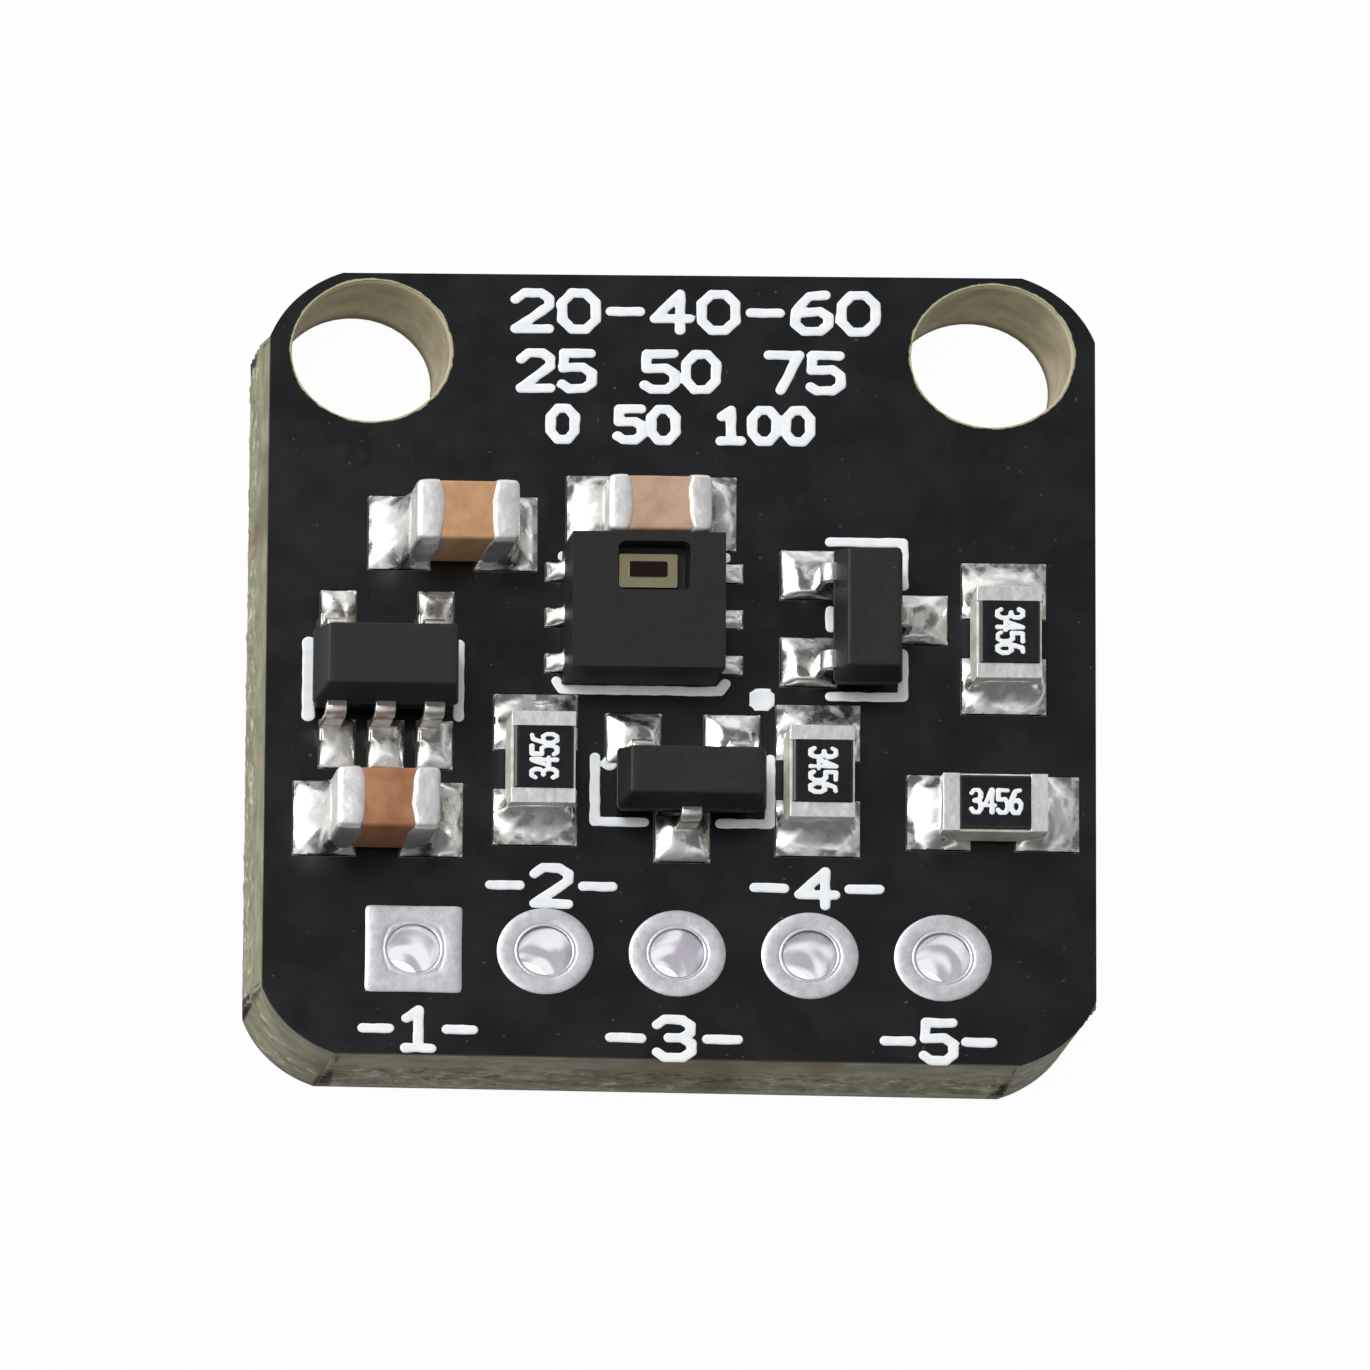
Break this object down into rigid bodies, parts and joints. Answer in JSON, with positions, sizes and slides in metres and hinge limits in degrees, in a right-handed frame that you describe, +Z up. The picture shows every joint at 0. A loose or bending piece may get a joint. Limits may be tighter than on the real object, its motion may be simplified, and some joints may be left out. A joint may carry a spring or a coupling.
{
  "type": "temperature humidity sensor module",
  "caption": "Small black sensor board with plated header holes, mounting holes and surface mount parts.",
  "frame": {"origin": "middle of the board's box, at its back face", "axes": "+X along the header row with its square pad at -X, +Y from the header row to the mounting holes, +Z up out of the face with the parts"},
  "size_m": [0.0162, 0.0174, 0.0028],
  "materials": {
    "glass_epoxy": "rough where it is broken and routed",
    "solder_mask": "satin",
    "legend_ink": "matt print",
    "tinned_copper": "satin tin over copper",
    "copper": "dull copper",
    "mould_compound": "fine grained, moulded",
    "chip_gold": "polished metal film on silicon",
    "sensing_film": "thin gloss film",
    "lead_tin": "matt tin plate",
    "solder": "reflowed, bright",
    "terminal_tin": "matt tin plate",
    "chip_ceramic_tan": "sintered, satin",
    "chip_ceramic_grey": "sintered, satin",
    "chip_ceramic_brown": "sintered, satin",
    "alumina": "matt white ceramic",
    "glass_coat": "satin glass"
  },
  "bodies": {
    "root": {"header_ring_1": "tinned_copper", "header_ring_2": "tinned_copper", "header_ring_3": "tinned_copper", "header_ring_4": "tinned_copper", "header_ring_5": "tinned_copper", "laminate": "glass_epoxy", "solder_mask_front": "solder_mask", "solder_mask_back": "solder_mask", "legend_print": "legend_ink", "via_barrels": "copper", "capacitor_lands": "tinned_copper", "resistor_lands": "tinned_copper", "transistor_lands": "tinned_copper", "regulator_lands": "tinned_copper", "sensor_lands": "tinned_copper", "sensor_package": "mould_compound", "sensor_chip": "chip_gold", "sensor_film": "sensing_film", "sensor_contacts": "lead_tin", "sensor_solder": "solder", "regulator_body": "mould_compound", "regulator_leads": "lead_tin", "regulator_solder": "solder", "transistor_1_body": "mould_compound", "transistor_1_leads": "lead_tin", "transistor_1_solder": "solder", "transistor_2_body": "mould_compound", "transistor_2_leads": "lead_tin", "transistor_2_solder": "solder", "capacitor_1_body": "chip_ceramic_tan", "capacitor_1_terminals": "terminal_tin", "capacitor_1_solder": "solder", "capacitor_2_body": "chip_ceramic_grey", "capacitor_2_terminals": "terminal_tin", "capacitor_2_solder": "solder", "capacitor_3_body": "chip_ceramic_brown", "capacitor_3_terminals": "terminal_tin", "capacitor_3_solder": "solder", "resistor_1_base": "alumina", "resistor_1_coat": "glass_coat", "resistor_1_terminals": "terminal_tin", "resistor_1_solder": "solder", "resistor_2_base": "alumina", "resistor_2_coat": "glass_coat", "resistor_2_terminals": "terminal_tin", "resistor_2_solder": "solder", "resistor_3_base": "alumina", "resistor_3_coat": "glass_coat", "resistor_3_terminals": "terminal_tin", "resistor_3_solder": "solder", "resistor_4_base": "alumina", "resistor_4_coat": "glass_coat", "resistor_4_terminals": "terminal_tin", "resistor_4_solder": "solder"}
  },
  "joints": []
}
